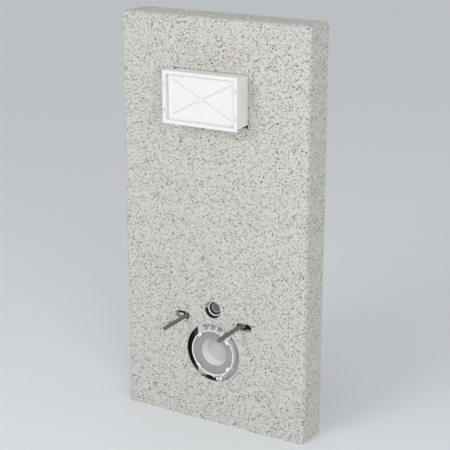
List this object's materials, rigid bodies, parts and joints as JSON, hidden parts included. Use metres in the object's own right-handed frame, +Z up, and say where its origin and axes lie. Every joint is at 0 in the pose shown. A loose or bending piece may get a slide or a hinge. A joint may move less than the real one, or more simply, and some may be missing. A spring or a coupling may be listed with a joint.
{
  "type": "wall hung toilet installation block",
  "caption": "Floor-standing stone-flecked casting that hides a cistern, load frame and drain, with service shaft, bowl studs, flush mouth and drain mouth in its front.",
  "frame": {"origin": "on the floor, in the middle of the width, in the plane of the wall behind", "axes": "+Z up, +X to the right seen from the front, +Y towards the wall behind; the front looks along -Y"},
  "size_m": [0.6, 0.224, 1.2],
  "materials": {
    "flecked_stone": "light grey lightweight concrete with dark flecks, matt",
    "white_shell": "white moulded plastic, satin",
    "tank_plastic": "blow-moulded dark grey plastic, matt",
    "black_plastic": "black moulded plastic, matt",
    "seal_rubber": "black rubber",
    "plug_plastic": "grey moulded plastic, matt",
    "cap_plastic": "dark grey moulded plastic, matt",
    "frame_paint": "black powder coat",
    "zinc_steel": "zinc-plated steel, dull grey",
    "inlet_brass": "turned brass"
  },
  "bodies": {
    "root": {"block": "flecked_stone", "drain_sleeve": "black_plastic", "flush_sleeve": "black_plastic", "service_shaft": "white_shell", "service_cover": "white_shell", "cistern": "tank_plastic", "flush_outlet": "black_plastic", "flush_nut": "white_shell", "flush_pipe": "black_plastic", "flush_collar": "white_shell", "flush_seal": "seal_rubber", "flush_plug": "cap_plastic", "drain_bend": "black_plastic", "drain_clamp": "white_shell", "drain_plug": "plug_plastic", "bolt_bar": "frame_paint", "top_bar": "frame_paint", "water_inlet": "inlet_brass", "post_left": "frame_paint", "post_cap_left": "black_plastic", "foot_left": "frame_paint", "wall_lug_left": "frame_paint", "pipe_bracket_left": "frame_paint", "stud_left": "zinc_steel", "stud_nut_front_left": "zinc_steel", "stud_washer_left": "zinc_steel", "stud_nut_rear_left": "zinc_steel", "post_right": "frame_paint", "post_cap_right": "black_plastic", "foot_right": "frame_paint", "wall_lug_right": "frame_paint", "pipe_bracket_right": "frame_paint", "stud_right": "zinc_steel", "stud_nut_front_right": "zinc_steel", "stud_washer_right": "zinc_steel", "stud_nut_rear_right": "zinc_steel"}
  },
  "joints": []
}
